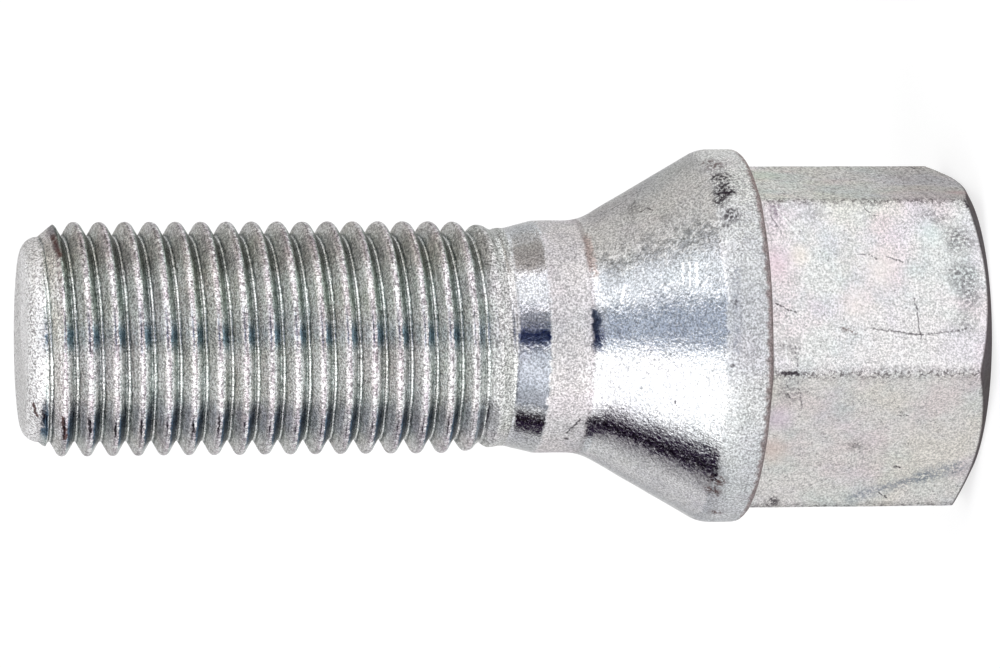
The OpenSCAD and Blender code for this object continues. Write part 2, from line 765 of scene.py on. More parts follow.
ALL_ROUND = (-180.0, 180.0)
# Range that most of a noise's values lie in
NOISE_RANGE = (0.3, 0.7)

BROWN = (0.1, 0.045, 0.04)
INK = (0.04, 0.03, 0.04)
WHITE = (1.0, 1.0, 1.0)
# Colour of pits and specks, and of the painted shade round the head's bevel
DARK_MARK_AND_SHADE_COLOUR = (0.06, 0.045, 0.05)

# Faint tints of the plate: the colour, how far its noise is moved, and the waves in a millimetre
TINTS = (
    ((1.0, 0.84, 0.9), 11.0, 0.22),
    ((0.9, 0.88, 1.0), 29.0, 0.26),
    ((1.0, 0.96, 0.84), 47.0, 0.2),
    ((0.86, 0.97, 0.93), 71.0, 0.24),
)
TINT_EDGES = (0.5, 0.64)


@dataclass(frozen=True)
class Mark:
    """Line between two places, or spot at one, in degrees from +X and millimetres of height: mostly
    scratches and stains, a few painted highlights and painted reflections.
    """

    start: Place
    end: Place | None = None
    width: float = 0.12
    soft: float = 0.5
    colour: Colour = INK
    strength: float = 0.9
    speckled: bool = False


@dataclass(frozen=True)
class Patch:
    """Stretch with a tone of its own, in degrees from +X and millimetres of height; most patches
    are painted shade, a few are painted highlights.
    """

    azimuth: Span
    height: Span
    colour: Colour
    soft: float = 6.0
    soft_height: float = 0.2
    kind: str = "MULTIPLY"
    roughness: float = 0.0


class PlateSketch(Sketch):
    """Nodes of a plate, with the place on the bolt in millimetres and in degrees from +X."""

    ragged_waves = 4.5
    ragged_detail = 2.0
    ragged_reach = 0.17

    def __init__(self, tree: bpy.types.NodeTree) -> None:
        """Reads the place, and shakes it a little for the outlines of the marks.

        Args:
            tree: The material's nodes.
        """
        super().__init__(tree)
        coordinates = self.node("ShaderNodeTexCoord", {}).outputs["Object"]
        self.point = self.scaled(coordinates, 1 / MM)
        parts = self.node("ShaderNodeSeparateXYZ", {0: self.point}).outputs
        self.height = parts[2]
        azimuth = self.math("ARCTAN2", parts[1], parts[0])
        self.azimuth = self.math("MULTIPLY", azimuth, math.degrees(1))
        flat = self.vector("MULTIPLY", self.point, (1, 1, 0)).outputs[0]
        self.radius = self.vector("LENGTH", flat).outputs["Value"]
        sockets = {"Vector": self.point, "Scale": self.ragged_waves, "Detail": self.ragged_detail}
        shake = self.node("ShaderNodeTexNoise", sockets).outputs[1]
        reach = Vector((1, 1, 1)) * self.ragged_reach
        shake = self.vector("MULTIPLY_ADD", shake, tuple(2 * reach), tuple(-reach)).outputs[0]
        self.ragged = self.vector("ADD", self.point, shake).outputs[0]


@dataclass(frozen=True)
class ZincFinish:
    """Bright zinc plate: grainy, blotched and faintly tinted, with dark pits, marks of wear, and
    patches and marks of painted shade and painted highlight.
    """

    name: str
    colour: Colour
    blotch_colour: Colour
    blotches: Flecks = Flecks(0.45, 5, 0.6, (0.45, 0.7))
    roughness: float = 0.42
    roughness_swing: float = 0.2
    pit_roughness: float = 0.25
    grain_waves: float = 8.5
    grain_detail: float = 3
    grain_rough: float = 0.8
    grain_edges: Span = (0.4, 0.6)
    grain_colour: float = 0.45
    grain_highlight: float = 0.8
    grain_height: float = 0.5
    specks: Flecks = Flecks(4.6, 3, 0.7, (0.35, 0.43), 0.8)
    speck_light: float = 0.6
    hammer_waves: float = 1.2
    hammer_detail: float = 3
    hammer_rough: float = 0.6
    hammer_bend: float = 0.6
    hammer_height: float = 0.5
    tint: float = 0.3
    pits: Flecks = Flecks(1.9, 6, 0.72, (0.68, 0.74))
    pit_strength: float = 0.7
    pit_height: float = -0.6
    bump_distance: float = 0.03 * MM
    edge_colour: Colour = (0.6, 0.6, 0.6)
    patch_wander: Flecks = Flecks(2.2, 4, 0.7, NOISE_RANGE)
    mark_specks: Flecks = Flecks(4.4, 4, 0.75, (0.45, 0.53))
    patches: tuple[Patch, ...] = ()
    marks: tuple[Mark, ...] = ()

    def colour_nodes(self, sketch: PlateSketch) -> Socket:
        """Colour of the plate before grain and pits.

        Args:
            sketch: The material's nodes.

        Returns:
            The colour.
        """
        blotch = self.blotches.share(sketch, sketch.point)
        colour = sketch.mix(blotch, self.colour, self.blotch_colour)
        for tint, shift, waves in TINTS:
            moved = sketch.vector("ADD", sketch.point, (shift, shift, shift)).outputs[0]
            share = Flecks(waves, 3, 0.5, TINT_EDGES).share(sketch, moved, 0, self.tint)
            colour = sketch.mix(share, colour, tint, "MULTIPLY")
        return colour

    def patch_nodes(
        self, sketch: PlateSketch, colour: Socket, roughness: Socket
    ) -> tuple[Socket, Socket]:
        """Lays the patches over a colour and a roughness.

        Args:
            sketch: The material's nodes.
            colour: The colour below them.
            roughness: The roughness below them.

        Returns:
            The colour and the roughness with the patches.
        """
        wander = self.patch_wander.share(sketch, sketch.point, -1, 1)
        for patch in self.patches:
            height = sketch.math("MULTIPLY_ADD", wander, patch.soft_height / 2, sketch.height)
            share = sketch.inside(height, patch.height, patch.soft_height)
            if patch.azimuth != ALL_ROUND:
                azimuth = sketch.math("MULTIPLY_ADD", wander, patch.soft / 2, sketch.azimuth)
                inside = sketch.sector(azimuth, patch.azimuth, patch.soft)
                share = sketch.math("MULTIPLY", share, inside)
            colour = sketch.mix(share, colour, patch.colour, patch.kind)
            if patch.roughness:
                roughness = sketch.math("MULTIPLY_ADD", share, patch.roughness, roughness)
        return colour, roughness

    def mark_distance(self, sketch: PlateSketch, mark: Mark, surface: SurfacePoint) -> Socket:
        """Distance from the middle of a mark, along its length too where it has one.

        Args:
            sketch: The material's nodes.
            mark: The mark.
            surface: Gives the point, in millimetres, of a place on the surface.

        Returns:
            The distance in millimetres.
        """
        start = surface(mark.start)
        if mark.end is None:
            return sketch.vector("DISTANCE", sketch.ragged, tuple(start)).outputs["Value"]
        line = surface(mark.end) - start
        per_length = tuple(line / line.length_squared)
        from_start = sketch.vector("SUBTRACT", sketch.ragged, tuple(start)).outputs[0]
        along = sketch.vector("DOT_PRODUCT", from_start, per_length).outputs["Value"]
        along = sketch.math("MINIMUM", sketch.math("MAXIMUM", along, 0.0), 1.0)
        nearest = sketch.scaled(tuple(line), along)
        return sketch.vector("DISTANCE", from_start, nearest).outputs["Value"]

    def mark_nodes(
        self, sketch: PlateSketch, colour: Socket, surface: SurfacePoint
    ) -> Socket:
        """Draws the marks over a colour.

        Args:
            sketch: The material's nodes.
            colour: The colour below them.
            surface: Gives the point, in millimetres, of a place on the surface.

        Returns:
            The colour with the marks.
        """
        specks = self.mark_specks.share(sketch, sketch.point)
        for mark in self.marks:
            away = self.mark_distance(sketch, mark, surface)
            half = mark.width / 2
            share = sketch.span(away, half, half * (1 - mark.soft), 0, mark.strength)
            if mark.speckled:
                share = sketch.math("MULTIPLY", share, specks)
            colour = sketch.mix(share, colour, mark.colour)
        return colour

    def roughness_nodes(self, sketch: PlateSketch, hammer: Socket, dark: Socket) -> Socket:
        """Roughness of the plate, which swings with its unevenness and rises in its pits.

        Args:
            sketch: The material's nodes.
            hammer: Noise of the unevenness.
            dark: Share of dark colour.

        Returns:
            The roughness.
        """
        half = self.roughness_swing / 2
        swing = sketch.span(hammer, *NOISE_RANGE, -half, half)
        level = sketch.math("ADD", swing, self.roughness)
        return sketch.math("MULTIPLY_ADD", dark, self.pit_roughness, level)

    def extra_dark(self, sketch: PlateSketch) -> object:
        """Share of dark colour of marks, and of painted shade, that only some finishes have."""
        return 0.0

    def grain_place(self, sketch: PlateSketch) -> Socket:
        """Place at which the grain is looked up."""
        return sketch.point

    def light_nodes(self, sketch: PlateSketch, grain: Socket) -> Socket:
        """Grey of the grain and of the sparse specks.

        Args:
            sketch: The material's nodes.
            grain: Noise of the grain.

        Returns:
            The grey, which the colour is multiplied by.
        """
        darkest = 1 - self.grain_colour
        brightest = 1 + self.grain_colour * self.grain_highlight
        light = sketch.span(grain, *self.grain_edges, darkest, brightest)
        specks = self.specks.share(sketch, sketch.point, self.speck_light, 1)
        return sketch.grey(sketch.math("MULTIPLY", light, specks))

    def material(self, surface: SurfacePoint) -> bpy.types.Material:
        """Builds the material.

        Args:
            surface: Gives the point, in millimetres, of a place on the surface.

        Returns:
            The new material.
        """
        material = bpy.data.materials.new(self.name)
        material.use_nodes = True
        sketch = PlateSketch(material.node_tree)
        grain_place = self.grain_place(sketch)
        grain = sketch.noise(grain_place, self.grain_waves, self.grain_detail, self.grain_rough)
        hammer = sketch.noise(
            sketch.point,
            self.hammer_waves,
            self.hammer_detail,
            self.hammer_rough,
            self.hammer_bend,
        )
        pits = self.pits.share(sketch, sketch.point, 0, self.pit_strength)
        # On the head, the dark share also holds the painted shade round the bevel
        dark = sketch.math("MAXIMUM", pits, self.extra_dark(sketch))
        roughness = self.roughness_nodes(sketch, hammer, dark)
        colour = self.colour_nodes(sketch)
        colour, roughness = self.patch_nodes(sketch, colour, roughness)
        light = self.light_nodes(sketch, grain)
        colour = sketch.mix(1.0, colour, light, "MULTIPLY")
        colour = sketch.mix(dark, colour, DARK_MARK_AND_SHADE_COLOUR)
        colour = self.mark_nodes(sketch, colour, surface)
        height = sketch.math("MULTIPLY", grain, self.grain_height)
        height = sketch.math("MULTIPLY_ADD", hammer, self.hammer_height, height)
        height = sketch.math("MULTIPLY_ADD", dark, self.pit_height, height)
        bump = sketch.node(
            "ShaderNodeBump",
            {"Height": height, "Strength": 1.0, "Distance": self.bump_distance},
        )
        shader = sketch.node(
            "ShaderNodeBsdfPrincipled",
            {
                "Base Color": colour,
                "Metallic": 1.0,
                "Roughness": roughness,
                "Specular Tint": (*self.edge_colour, 1),
                "Normal": bump.outputs[0],
            },
        )
        sketch.node("ShaderNodeOutputMaterial", {"Surface": shader.outputs[0]})
        return material


@dataclass(frozen=True)
class FlankShade:
    """Painted reflection and shade on the flank that faces the head, between two azimuths in
    degrees.
    """

    azimuth: Span
    soft: float
    colour: Colour


@dataclass(frozen=True)
class ThreadFinish(ZincFinish):
    """Plate on the thread, with painted highlights and painted shade in bands along the helix."""

    pitch: float = THREAD_PITCH / MM
    crest_start: float = FIRST_CREST / MM
    phase_wander: Flecks = Flecks(2.2, 3, 0.5, NOISE_RANGE)
    phase_reach: float = 0.02
    fade: Span = (28.0, 31.0)
    fade_colour: Colour = (0.62, 0.63, 0.62)
    line_count: float = 16.0
    line_turn: float = 0.05
    lines: Flecks = Flecks(1.0, 2, 0.5, (0.35, 0.65))
    line_light: Span = (0.8, 1.18)
    glint_reach: Span = (0.12, 0.07)
    glint_spots: Flecks = Flecks(2.4, 4, 0.7, (0.5, 0.56))
    # Painted highlight and shade lines across the thread's profile, as share of the pitch and
    # colour
    light_and_shade_bands: tuple[tuple[float, Colour], ...] = (
        (0.0, (0.2, 0.23, 0.22)),
        (0.012, (1.0, 1.0, 0.98)),
        (0.048, (0.95, 1.0, 0.97)),
        (0.06, (0.16, 0.2, 0.2)),
        (0.085, (0.22, 0.26, 0.26)),
        (0.1, (1.0, 1.0, 0.98)),
        (0.135, (0.95, 1.0, 0.97)),
        (0.155, (0.4, 0.46, 0.45)),
        (0.2, (0.78, 0.85, 0.82)),
        (0.38, (0.72, 0.77, 0.76)),
        (0.44, (0.54, 0.5, 0.53)),
        (0.5, (0.62, 0.57, 0.6)),
        (0.57, (0.52, 0.49, 0.5)),
        (0.63, (0.76, 0.74, 0.73)),
        (0.87, (0.84, 0.83, 0.8)),
        (0.92, (0.36, 0.38, 0.37)),
        (0.935, (0.16, 0.19, 0.19)),
        (0.95, (0.9, 0.94, 0.91)),
        (0.98, (0.9, 0.96, 0.92)),
    )
    flank: Span = (0.12, 0.42)
    matte_flank: Span = (0.58, 0.92)
    flank_soft: float = 0.06
    matte_roughness: float = 0.34
    # Painted reflections and shade on the flank that faces the head, by azimuth
    flank_shades: tuple[FlankShade, ...] = (
        FlankShade((-95.0, -30.0), 16.0, (0.56, 0.6, 0.57)),
        FlankShade((-112.0, -101.0), 9.0, (0.28, 0.38, 0.46)),
        FlankShade((-176.0, -147.0), 14.0, (0.12, 0.18, 0.26)),
    )

    def phase(self, sketch: PlateSketch) -> Socket:
        """Share of the pitch from root to root, which runs along the helix.

        Args:
            sketch: The material's nodes.

        Returns:
            The share, where the crest is at a half.
        """
        turn = sketch.math("MULTIPLY", sketch.azimuth, -1 / 360)
        start = -self.crest_start / self.pitch
        climb = sketch.math("MULTIPLY_ADD", sketch.height, 1 / self.pitch, start)
        reach = self.phase_reach
        shake = self.phase_wander.share(sketch, sketch.point, -reach, reach)
        return sketch.math("FRACT", sketch.math("ADD", sketch.math("ADD", turn, climb), shake))

    def roughness_nodes(self, sketch: PlateSketch, hammer: Socket, dark: Socket) -> Socket:
        """Roughness of the plate, which is matte on the flank that faces the tip.

        Args:
            sketch: The material's nodes.
            hammer: Noise of the unevenness.
            dark: Share of dark colour.

        Returns:
            The roughness.
        """
        plain = super().roughness_nodes(sketch, hammer, dark)
        matte = sketch.inside(self.phase(sketch), self.matte_flank, self.flank_soft)
        return sketch.math("MULTIPLY_ADD", matte, self.matte_roughness, plain)

    def light_and_shade_nodes(self, sketch: PlateSketch, phase: Socket) -> Socket:
        """Painted highlights and shade by the share of the pitch, which fade out towards the neck.

        Args:
            sketch: The material's nodes.
            phase: Share of the pitch.

        Returns:
            The colour with the painted light and shade.
        """
        ramp = sketch.node("ShaderNodeValToRGB", {0: phase})
        elements = ramp.color_ramp.elements
        ready = len(elements)
        for number, (where, colour) in enumerate(self.light_and_shade_bands):
            element = elements[number] if number < ready else elements.new(where)
            element.position = where
            element.color = (*colour, 1)
        # Painted reflection and shade on the flank that faces the head
        flank = sketch.mix(0.0, WHITE, WHITE)
        for flank_shade in self.flank_shades:
            share = sketch.sector(sketch.azimuth, flank_shade.azimuth, flank_shade.soft)
            flank = sketch.mix(share, flank, flank_shade.colour)
        on_flank = sketch.inside(phase, self.flank, self.flank_soft)
        band = sketch.mix(on_flank, ramp.outputs[0], flank, "MULTIPLY")
        return sketch.mix(sketch.span(sketch.height, *self.fade), self.fade_colour, band)

    def colour_nodes(self, sketch: PlateSketch) -> Socket:
        """Colour with the painted light and shade bands, fine lines along the helix and painted
        highlight spots on the crest.

        Args:
            sketch: The material's nodes.

        Returns:
            The colour.
        """
        phase = self.phase(sketch)
        across = sketch.math("MULTIPLY", phase, self.line_count)
        along = sketch.math("MULTIPLY", sketch.azimuth, self.line_turn)
        line_place = sketch.node("ShaderNodeCombineXYZ", {0: across, 1: along, 2: sketch.height})
        streak = self.lines.share(sketch, line_place.outputs[0], *self.line_light)
        band = self.light_and_shade_nodes(sketch, phase)
        band = sketch.mix(1.0, band, sketch.grey(streak), "MULTIPLY")
        # Painted highlight spots along the crest
        from_crest = sketch.math("ABSOLUTE", sketch.math("SUBTRACT", phase, 0.5))
        on_crest = sketch.span(from_crest, *self.glint_reach)
        glint = sketch.math("MULTIPLY", on_crest, self.glint_spots.share(sketch, sketch.point))
        band = sketch.mix(glint, band, WHITE)
        return sketch.mix(1.0, super().colour_nodes(sketch), band, "MULTIPLY")


@dataclass(frozen=True)
class HexagonFinish(ZincFinish):
    """Plate on the head, with rough long edges and painted shade round the bevel of the end face.
    """

    end_face_radius: float = END_FACE_DIAMETER / 2 / MM
    bevel_slope: float = 1 / math.tan(END_BEVEL)
    # Painted shade round the bevel of the end face
    bevel_shade_share: float = 0.88
    bevel_shade_fade: Span = (-0.3, -0.04)
    rim_shade_fade: Span = (-0.25, -0.02)
    edge_reach: Span = (3.0, 0.2)
    edge_specks: Flecks = Flecks(4.6, 4, 0.8, (0.48, 0.57))
    edge_share: float = 0.7
    drawn_face: Span = (-60.0, 0.0)
    drawn_soft: float = 0.5
    drawn_stretch: float = 0.5
    drawn_specks: Flecks = Flecks(5.5, 2, 0.7, (0.5, 0.6))
    drawn_share: float = 0.42

    def grain_place(self, sketch: PlateSketch) -> Socket:
        """Place for the grain, which is drawn out across one face.

        Args:
            sketch: The material's nodes.

        Returns:
            The place in millimetres.
        """
        turn = math.radians(sum(self.drawn_face) / 2 + 90)
        across = (math.cos(turn), math.sin(turn), 0)
        reach = sketch.vector("DOT_PRODUCT", sketch.point, across).outputs["Value"]
        inside = sketch.sector(sketch.azimuth, self.drawn_face, self.drawn_soft)
        share = sketch.math("MULTIPLY", inside, self.drawn_stretch - 1)
        pulled = sketch.scaled(across, sketch.math("MULTIPLY", share, reach))
        return sketch.vector("ADD", sketch.point, pulled).outputs[0]

    def extra_dark(self, sketch: PlateSketch) -> Socket:
        """Specks along the six long edges and over one face, and a line of painted shade round the
        bevel.

        Args:
            sketch: The material's nodes.

        Returns:
            The share of dark colour.
        """
        half = HEXAGON_SECTOR / 2
        from_edge = sketch.math("ABSOLUTE", sketch.math("WRAP", sketch.azimuth, half, -half))
        edge = sketch.math(
            "MULTIPLY",
            sketch.span(from_edge, *self.edge_reach),
            self.edge_specks.share(sketch, sketch.point, 0, self.edge_share),
        )
        # Painted shade: a dark line round the bevel
        past_rim = sketch.math("SUBTRACT", sketch.radius, self.end_face_radius)
        past_bevel = sketch.math("MULTIPLY_ADD", sketch.height, -self.bevel_slope, past_rim)
        bevel = sketch.math(
            "MULTIPLY",
            sketch.span(past_bevel, *self.bevel_shade_fade, 0, self.bevel_shade_share),
            sketch.span(past_rim, *self.rim_shade_fade),
        )
        grain_place = self.grain_place(sketch)
        drawn = sketch.math(
            "MULTIPLY",
            sketch.sector(sketch.azimuth, self.drawn_face, self.drawn_soft),
            self.drawn_specks.share(sketch, grain_place, 0, self.drawn_share),
        )
        return sketch.math("MAXIMUM", sketch.math("MAXIMUM", edge, bevel), drawn)


def spot(
    azimuth: float,
    height: float,
    width: float,
    strength: float,
    soft: float = 0.9,
    colour: Colour = INK,
    speckled: bool = False,
) -> Mark:
    """Round mark at one place, which fades over its soft share of the radius."""
    return Mark((azimuth, height), None, width, soft, colour, strength, speckled)


def speckle(
    azimuth: float,
    height: float,
    width: float,
    strength: float,
    soft: float = 0.9,
    colour: Colour = INK,
) -> Mark:
    """Spot that is broken up into specks."""
    return spot(azimuth, height, width, strength, soft, colour, True)


# Marks and patches of the photograph, as azimuth in degrees from +X and height in millimetres
THREAD_MARKS = (
    Mark((-40.8, 54.52), (-62.2, 54.26), 0.55, 0.9, BROWN),
    Mark((-50.9, 53.06), (-56.1, 52.99), 0.22),
    Mark((-146.9, 55.84), (-156.0, 55.62), 0.25, colour=BROWN),
    Mark((-151.1, 55.31), (-156.3, 55.17), 0.2),
    Mark((-149.3, 54.22), (-164.7, 53.93), 0.3, colour=BROWN),
    Mark((-150.0, 52.71), (-159.8, 52.52), 0.22),
    Mark((-155.0, 51.17), (-162.4, 50.99), 0.2),
    Mark((-151.6, 49.69), (-163.7, 49.52), 0.18),
    Mark((-152.5, 46.66), (-160.5, 46.47), 0.2),
    Mark((-150.4, 45.1), (-159.2, 45.08), 0.18),
    Mark((-109.3, 52.8), (-114.1, 52.74), 0.14),
)

SEAT_MARKS = (
    Mark((-162.8, 24.47), (-152.0, 23.81), 0.16),
    spot(-168.5, 24.37, 0.4, 0.9, 0.6),
    speckle(-160.0, 24.3, 1.0, 0.6),
    # Painted dark reflection, speckled, down the slope and the cone
    Mark((-154.0, 26.2), (-154.0, 27.4), 1.2, 0.7, (0.03, 0.01, 0.02), 0.85, True),
    Mark((-151.8, 22.9), (-153.8, 16.4), 1.5, 0.8, (0.02, 0.01, 0.02), 0.8, True),
    Mark((-88.0, 15.6), (-112.0, 15.7), 0.8, 0.8, (0.2, 0.22, 0.28), 0.5, True),
    Mark((-31.5, 19.61), (-34.9, 20.88), 0.12, strength=0.6),
    Mark((-34.9, 20.88), (-34.9, 22.05), 0.14, strength=0.6),
    Mark((-49.8, 20.15), (-49.4, 19.75), 0.14, strength=0.8),
    Mark((-49.4, 19.75), (-52.4, 19.48), 0.14, strength=0.8),
    speckle(-44.0, 20.4, 2.6, 0.55),
    speckle(-60.0, 18.9, 2.2, 0.3),
    Mark((-23.7, 18.49), (-40.4, 18.24), 0.1, strength=0.5),
    Mark((-49.6, 19.98), (-51.1, 16.74), 0.1, strength=0.35),
    Mark((-58.5, 15.89), (-58.9, 15.03), 0.26, 0.4),
    Mark((-56.5, 15.71), (-54.3, 15.29), 0.24),
    speckle(-51.2, 15.61, 1.9, 0.9, 0.6),
    speckle(-57.7, 15.62, 1.9, 0.95, 0.6),
    speckle(-61.8, 15.93, 1.4, 0.9, 0.6),
    speckle(-68.6, 15.54, 1.5, 0.85, 0.6),
    speckle(-72.1, 15.91, 0.6, 0.8, 0.8),
    speckle(-43.0, 15.62, 1.7, 0.75, 0.8, BROWN),
    speckle(-38.5, 15.92, 1.2, 0.7, 0.8, BROWN),
    speckle(-158.6, 16.1, 1.5, 0.9, 0.7, BROWN),
    speckle(-164.4, 16.15, 1.5, 0.9, 0.7, BROWN),
    speckle(-178.0, 15.52, 1.2, 0.8, 0.8, BROWN),
    Mark((-131.4, 18.88), (-134.1, 18.8), 0.1),
    spot(-116.7, 15.94, 0.35, 0.7, 0.6),
    speckle(-97.7, 15.75, 0.7, 0.8, 0.8),
    Mark((-81.4, 18.38), (-89.9, 18.48), 0.16, colour=WHITE),
    Mark((-82.0, 18.04), (-90.3, 18.09), 0.14, colour=WHITE),
    Mark((-82.6, 17.67), (-91.1, 17.72), 0.18, colour=WHITE),
    Mark((-85.3, 21.57), (-93.3, 21.8), 0.18, colour=WHITE),
    # Painted highlight: a white line at the foot of the cone
    Mark((-77.6, 15.98), (-97.0, 16.1), 0.2, colour=WHITE, strength=0.8),
)

HEXAGON_MARKS = (
    spot(-16.5, 11.54, 4.2, 0.35, 0.95, (0.5, 0.64, 0.5)),
    spot(-49.4, 1.09, 2.0, 0.5, 0.95, (0.5, 0.36, 0.36)),
    spot(-80.9, 12.78, 3.4, 0.45, 0.95, (0.86, 0.66, 0.74)),
    spot(-78.3, 11.4, 2.0, 0.4, 0.95, (0.94, 0.86, 0.74)),
    spot(-84.0, 6.59, 3.8, 0.4, 0.95, (0.94, 0.84, 0.8)),
    spot(-96.0, 8.2, 3.2, 0.35, 0.95, (0.94, 0.84, 0.8)),
    spot(-70.4, 3.4, 2.6, 0.35, 0.95, (0.66, 0.84, 0.82)),
    spot(-138.4, 12.65, 2.8, 0.45, 0.95, (0.62, 0.5, 0.64)),
    spot(-154.1, 12.65, 3.2, 0.45, 0.95, (0.72, 0.54, 0.48)),
    speckle(-64.3, 3.74, 1.6, 0.4),
    speckle(-65.9, 2.83, 2.0, 0.5),
    speckle(-72.9, 1.7, 2.8, 0.6, 0.8),
    speckle(-86.4, 1.7, 2.8, 0.6, 0.8),
    speckle(-94.4, 1.33, 2.2, 0.55, 0.8),
    speckle(-103.9, 1.76, 2.4, 0.45),
    speckle(-63.3, 12.67, 1.5, 0.6, 0.8, (0.16, 0.1, 0.16)),
    speckle(-63.9, 10.35, 1.7, 0.4),
    speckle(-112.0, 12.3, 2.2, 0.5),
    speckle(-127.0, 12.2, 2.4, 0.55),
    Mark((-176.0, 7.25), (-167.2, 3.19), 1.3, 0.9, (0.14, 0.17, 0.22), 0.6, True),
    Mark((-167.2, 3.19), (-163.0, 1.3), 2.0, 0.9, (0.14, 0.17, 0.22), 0.6, True),
    speckle(-151.9, 7.7, 1.6, 0.5),
    speckle(-177.5, 12.1, 1.4, 0.9, 0.7),
    Mark((-62.5, 12.5), (-72.0, 11.3), 0.12, colour=WHITE, strength=0.8),
    Mark((-64.5, 12.2), (-73.0, 10.9), 0.12, strength=0.5, speckled=True),
    Mark((-65.0, 12.9), (-71.0, 12.3), 0.1, strength=0.6),
    Mark((-62.1, 7.31), (-63.6, 7.1), 0.1),
    Mark((-63.6, 7.1), (-65.1, 6.62), 0.1),
    Mark((-78.0, 7.87), (-78.0, 7.08), 0.12, strength=0.8),
    Mark((-78.0, 7.08), (-79.9, 6.8), 0.12, strength=0.8),
    Mark((-78.9, 6.15), (-80.9, 5.24), 0.12, strength=0.8),
    Mark((-96.3, 13.02), (-99.6, 11.87), 0.14),
    Mark((-94.2, 4.71), (-98.0, 4.6), 0.22, strength=0.8, speckled=True),
    Mark((-98.0, 4.6), (-109.2, 4.5), 0.14, strength=0.7),
    Mark((-105.5, 7.44), (-107.9, 4.34), 0.14, strength=0.7),
    Mark((-107.9, 4.34), (-105.7, 1.48), 0.16, strength=0.7, speckled=True),
    Mark((-105.4, 9.14), (-106.9, 8.39), 0.4, 0.8, BROWN, 0.8, True),
    Mark((-109.4, 12.59), (-116.6, 12.58), 0.12, colour=WHITE, strength=0.7),
    Mark((-110.1, 12.0), (-117.6, 11.99), 0.14, strength=0.6, speckled=True),
    Mark((-119.6, 12.85), (-119.9, 12.0), 0.3, 0.4),
    Mark((-122.8, 12.6), (-132.0, 12.1), 0.16, strength=0.7, speckled=True),
    Mark((-122.5, 11.89), (-133.8, 11.4), 0.16, strength=0.6, speckled=True),
    Mark((-60.1, 1.17), (-62.1, 1.04), 0.3),
    Mark((-2.8, 1.96), (-4.5, 1.54), 0.2),
    Mark((-137.4, 5.57), (-137.5, 4.78), 0.1),
    Mark((-162.5, 5.14), (-162.5, 4.72), 0.12),
    Mark((-174.0, 5.73), (-176.1, 5.18), 0.14),
)

